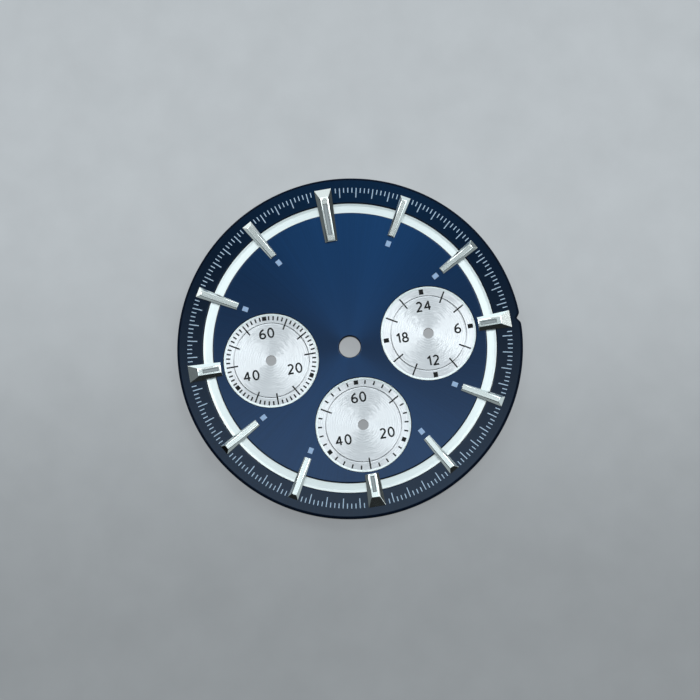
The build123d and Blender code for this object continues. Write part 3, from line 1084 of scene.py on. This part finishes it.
def studio_sky(turn_angle):
    """The soft surroundings that the metal mirrors: pale overhead, on the right and at the back.

    X points right, Y up and Z out of the image. Each ramp gives a start and an end along one of them, and
    its level before the one and past the other.
    """
    world = bpy.data.worlds.new("studio")
    world.use_nodes = True
    tree = world.node_tree
    tree.nodes.clear()
    way = add_node(tree, "ShaderNodeTexCoord").outputs["Generated"]
    parts = image_parts(tree, way, turn_angle)
    sky_ramps = {
        # A pale band overhead, by its far edge, its two ends and its near edge
        "ceiling": ("Y", 0.12, 0.21, 1.38, 0.07),
        "open_west": ("X", -0.55, -0.2, 0.1, 1.0),
        "open_east": ("X", 0.4, 0.75, 1.0, 0.3),
        "unshaded": ("Y", -0.30, 0.0, 0.015, 1.0),
        # A pale wall low on the right, and its far end
        "east": ("X", 0.55, 0.9, 0.0, 0.9),
        "east_end": ("Y", 0.13, 0.25, 1.0, 0.05),
        # A pale wall low at the back
        "north": ("Y", 0.5, 1.05, 0.0, 1.1),
        # A faint glow near the floor, mostly to the front, so that nothing looks black from low down
        "rear": ("Y", -0.45, -0.15, 1.0, 0.0),
        "rear_low": ("Z", 0.3, 0.5, 0.27, 0.0),
        "horizon": ("Z", 0.06, 0.22, 0.22, 0.0),
    }
    levels = {}
    for name, (axis, *reach) in sky_ramps.items():
        levels[name] = ramp(tree, parts[axis], *reach, "SMOOTHSTEP")
    open_part = reckon(tree, "MULTIPLY", levels["open_west"], levels["open_east"])
    east_part = reckon(tree, "MULTIPLY", levels["east"], levels["east_end"])
    overhead = reckon(tree, "MULTIPLY_ADD", levels["ceiling"], open_part, east_part)
    high_part = reckon(tree, "MULTIPLY_ADD", overhead, levels["unshaded"], levels["north"])
    low_glow = reckon(tree, "MULTIPLY_ADD", levels["rear"], levels["rear_low"], levels["horizon"])
    whole = reckon(tree, "ADD", high_part, low_glow)
    sky = add_node(tree, "ShaderNodeBackground", {"Color": (0.82, 0.955, 1.0, 1), "Strength": whole})
    add_node(tree, "ShaderNodeOutputWorld", {"Surface": sky.outputs["Background"]})
    return world


def dial_camera(settings, target_height):
    """The camera above the dial, leaning and turned as in the photograph."""
    camera_data = bpy.data.cameras.new("camera")
    camera_data.lens = settings.focal_length
    camera_data.sensor_width = 36
    camera_data.clip_start = mm
    camera_data.shift_x = settings.shift_across
    camera_data.shift_y = settings.shift_up
    camera = bpy.data.objects.new("camera", camera_data)
    across = settings.tilt_towards + pi / 2
    lean = Matrix.Rotation(settings.tilt, 4, Vector((cos(across), sin(across), 0)))
    swing = lean @ Matrix.Rotation(-settings.dial_turn, 4, "Z")
    aim = Matrix.Translation((0, 0, target_height)) @ swing
    camera.matrix_world = aim @ Matrix.Translation((0, 0, settings.distance))
    bpy.context.scene.collection.objects.link(camera)
    return camera


class DIAL_OT_stage(bpy.types.Operator):
    """Set the pale floor, the soft lamps and the camera"""

    bl_idname = "dial.stage"
    bl_label = "Stage"

    def execute(self, context):
        settings = context.scene.dial_stage
        scene = context.scene
        floor_half = 1500 * mm
        bm = bmesh.new()
        bmesh.ops.create_grid(bm, x_segments=1, y_segments=1, size=floor_half)
        bmesh.ops.translate(bm, verts=bm.verts[:], vec=(0, 0, cad_box[0][2]))
        mesh = bpy.data.meshes.new("floor")
        bm.to_mesh(mesh)
        bm.free()
        mesh.materials.append(floor_material(settings))
        floor = bpy.data.objects.new("floor", mesh)
        scene.collection.objects.link(floor)

        # Each lamp's compass and height in degrees, its size in metres and its power in watts
        lamps = {
            "key": (-14, 47, 0.62, 0.75),
            "east_panel": (66, 54, 0.56, 0.66),
            "west_panel": (304, 38, 0.25, 0.22),
            "high_west": (318, 62, 0.25, 0.72),
            "high_east": (40, 62, 0.25, 0.9),
        }
        for name, (compass, height, size, power) in lamps.items():
            lamp(settings, name, compass, height, size, power)
        scene.world = studio_sky(settings.dial_turn)
        ring_floor = base_top + context.scene.dial_silver.ring_thickness
        scene.camera = dial_camera(settings, ring_floor)
        scene.view_settings.view_transform = "Standard"
        return {"FINISHED"}


class DIAL_PT_panel(bpy.types.Panel):
    """Lists the operators that build the dial"""

    bl_label = "Watch Dial"
    bl_idname = "DIAL_PT_panel"
    bl_space_type = "VIEW_3D"
    bl_region_type = "UI"
    bl_category = "Dial"

    def draw(self, context):
        for operator in operators:
            self.layout.operator(operator.bl_idname)


settings_groups = {
    "dial_plates": DialPlateSettings,
    "dial_silver": SilverSettings,
    "dial_markers": MarkerSettings,
    "dial_trim": TrimSettings,
    "dial_stage": StageSettings,
}
operators = (
    DIAL_OT_base_plate,
    DIAL_OT_centre_disc,
    DIAL_OT_minute_track_ring,
    DIAL_OT_silver_ring,
    DIAL_OT_subdials,
    DIAL_OT_markers,
    DIAL_OT_strips,
    DIAL_OT_hour_squares,
    DIAL_OT_printing,
    DIAL_OT_dial_feet,
    DIAL_OT_stage,
)


def register():
    """Registers the settings, the operators and the panel."""
    for name, group in settings_groups.items():
        bpy.utils.register_class(group)
        setattr(bpy.types.Scene, name, PointerProperty(type=group))
    for operator in operators:
        bpy.utils.register_class(operator)
    bpy.utils.register_class(DIAL_PT_panel)


def unregister():
    """Takes them away again."""
    bpy.utils.unregister_class(DIAL_PT_panel)
    for operator in reversed(operators):
        bpy.utils.unregister_class(operator)
    for name, group in reversed(settings_groups.items()):
        delattr(bpy.types.Scene, name)
        bpy.utils.unregister_class(group)


def main():
    """Builds the dial and its stage."""
    register()
    for operator in operators:
        group, action = operator.bl_idname.split(".")
        getattr(getattr(bpy.ops, group), action)()


if __name__ == "__main__":
    main()
